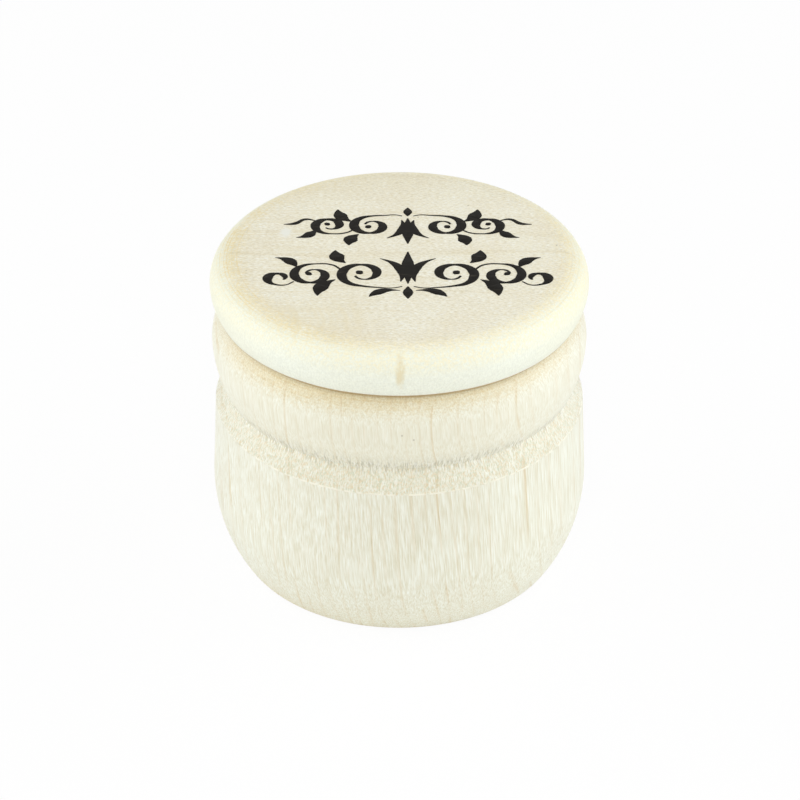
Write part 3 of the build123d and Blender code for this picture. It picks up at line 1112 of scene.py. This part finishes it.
ribbon = add(pen, "GeometryNodeCurveToMesh", {
    "Curve": level, "Profile Curve": nib, "Scale": half_width, "Fill Caps": True,
})
corner = add(pen, "ShaderNodeSeparateXYZ", {"Vector": add(pen, "GeometryNodeInputPosition")})
on_top = add(pen, "ShaderNodeMath", {0: corner.outputs["Z"], 1: 0.0}, operation="GREATER_THAN")
below_top = add(pen, "ShaderNodeMapRange", {"Value": on_top, "To Min": given["Ink Depth"], "To Max": 0.0})
ink_height = add(pen, "ShaderNodeMath", {0: given["Ink Top"], 1: below_top}, operation="SUBTRACT")
printed_x = add(pen, "ShaderNodeMath", {0: corner.outputs["X"], 1: given["Middle"]}, operation="ADD")
printed = add(pen, "ShaderNodeCombineXYZ", {"X": printed_x, "Y": corner.outputs["Y"], "Z": ink_height})
flat = add(pen, "GeometryNodeSetPosition", {"Geometry": ribbon, "Position": printed})
merged = add(pen, "GeometryNodeMeshBoolean", {
    "Mesh": flat, "Self Intersection": True,
}, operation="UNION", solver="EXACT")
real = add(pen, "GeometryNodeRealizeInstances", {"Geometry": merged})
made = add(pen, "GeometryNodeSetMaterial", {"Geometry": real, "Material": given["Ink"]})
add(pen, "NodeGroupOutput", {"Geometry": made})
print("the pen has", len(pen.nodes), "nodes")

# %% [markdown]
# ## The ink
#
# Printing ink on bare wood is a matt black film that is thinner over the raised fibres. A plain
# black would look like a sticker, so thin streaks along the lid's grain let a little of the
# wood through.

# %% The ink
ink, tree = new_material("printing_ink_black_on_bare_wood")
streak_run = 2.0 * MM
streak_gap = MM / 6
place = add(tree, "ShaderNodeTexCoord").outputs["Object"]
streaks = add(tree, "ShaderNodeMapping", {
    "Vector": place, "Scale": (1 / streak_run, 1 / streak_gap, 1 / streak_gap),
})
streaks = add(tree, "ShaderNodeTexNoise", {"Vector": streaks, "Scale": 1.0, "Detail": 2.0})
bare = add(tree, "ShaderNodeMapRange", {
    "Value": streaks, "From Min": 0.62, "From Max": 0.75, "To Max": 0.6,
})
shade = lay(tree, colour("#201E1B"), "#4C473D", bare)
skin = add(tree, "ShaderNodeBsdfPrincipled", {
    "Base Color": shade, "Roughness": 0.8, "Specular IOR Level": 0.1,
})
add(tree, "ShaderNodeOutputMaterial", {"Surface": skin})
print("the ink has", len(tree.nodes), "nodes")

# %% Print the ornament
ornament = grow("lid_ornament", pen, {
    "Paired Strokes": paired,
    "Single Strokes": single,
    "Middle": ornament_middle * MM,
    "Wide": 1.2 * MM,
    "Hairline": 0.3 * MM,
    "Ink Top": (lid_top_height - 0.015) * MM,
    "Ink Depth": 0.08 * MM,
    "Ink": ink,
})
for used in (paired, single):
    bpy.data.objects.remove(used)
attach(ornament, "lid")

# %% [markdown]
# ## Table and light
#
# The box stands on a white sheet in a light tent. A large soft window on each side and a
# smaller one in front and above, all about as bright, leave its sides brighter than its middle.
# The sheet and the tent would need far more light to look white, and the box would be washed
# out. So where the camera sees them they shine by themselves, by Light Path, and the sheet
# keeps a little of its own shading, in which the box's shadow shows.

# %% The floor, a sheet 4 metres wide
floor_reach = 2.0
corners = [(-1, -1), (1, -1), (1, 1), (-1, 1)]
floor_mesh = bpy.data.meshes.new("floor")
floor_mesh.from_pydata([(x * floor_reach, y * floor_reach, 0) for x, y in corners], [], [(0, 1, 2, 3)])
floor = bpy.data.objects.new("floor", floor_mesh)
bpy.context.scene.collection.objects.link(floor)
print("the floor is", 2 * floor_reach, "m wide")


# %% White paper that still takes a shadow
def seen_directly(tree):
    """One where the camera, a reflection or a view through glass sees the surface, else zero."""
    path = add(tree, "ShaderNodeLightPath").outputs
    seen = add(tree, "ShaderNodeMath", {
        0: path["Is Camera Ray"], 1: path["Is Glossy Ray"],
    }, operation="MAXIMUM")
    return add(tree, "ShaderNodeMath", {0: seen, 1: path["Is Transmission Ray"]}, operation="MAXIMUM")


# This share of the sheet's white shines by itself, and the rest is matt and takes the shadow
shining = 0.94
paper, tree = new_material("white_paper")
share = add(tree, "ShaderNodeMath", {0: seen_directly(tree), 1: shining}, operation="MULTIPLY")
matt = add(tree, "ShaderNodeBsdfDiffuse", {"Color": colour("#FBFBFA")})
white = add(tree, "ShaderNodeEmission", {"Color": colour("#FFFFFF"), "Strength": 1.0})
mixed = add(tree, "ShaderNodeMixShader", {0: share, 1: matt, 2: white})
add(tree, "ShaderNodeOutputMaterial", {"Surface": mixed})
floor_mesh.materials.append(paper)
print("the paper has", len(tree.nodes), "nodes")

# %% The room
world = bpy.data.worlds.new("light_tent")
bpy.context.scene.world = world
world.use_nodes = True
tree = world.node_tree
tree.nodes.clear()
room_strength = 0.35
dim = add(tree, "ShaderNodeBackground", {"Color": colour("#F6F6F4"), "Strength": room_strength})
white = add(tree, "ShaderNodeBackground", {"Color": colour("#FFFFFF"), "Strength": 1.0})
mixed = add(tree, "ShaderNodeMixShader", {0: seen_directly(tree), 1: dim, 2: white})
add(tree, "ShaderNodeOutputWorld", {"Surface": mixed})
print("the room lights the box at strength", room_strength)


# %% The soft windows
def window(name, place, size, watts, tint):
    """A square lamp of a size in metres, at a place in metres, turned to the middle of the box."""
    lamp = bpy.data.lights.new(name, "AREA")
    lamp.shape = "SQUARE"
    lamp.size = size
    lamp.energy = watts
    lamp.color = colour(tint)[:3]
    hung = bpy.data.objects.new(name, lamp)
    hung.location = place
    hung.rotation_mode = "QUATERNION"
    hung.rotation_quaternion = (camera_aim - Vector(place)).to_track_quat("-Z", "Y")
    hung.visible_camera = False
    bpy.context.scene.collection.objects.link(hung)
    print(name, "is", size, "m wide and gives", watts, "W")


window("left_window", (-0.45, 0.02, 0.25), 0.5, 1.45, "#F6FAFF")
window("right_window", (0.45, 0.02, 0.25), 0.5, 1.6, "#F6FAFF")
window("front_window", (0.0, -0.5, 0.46), 0.3, 1.4, "#FFFCF6")
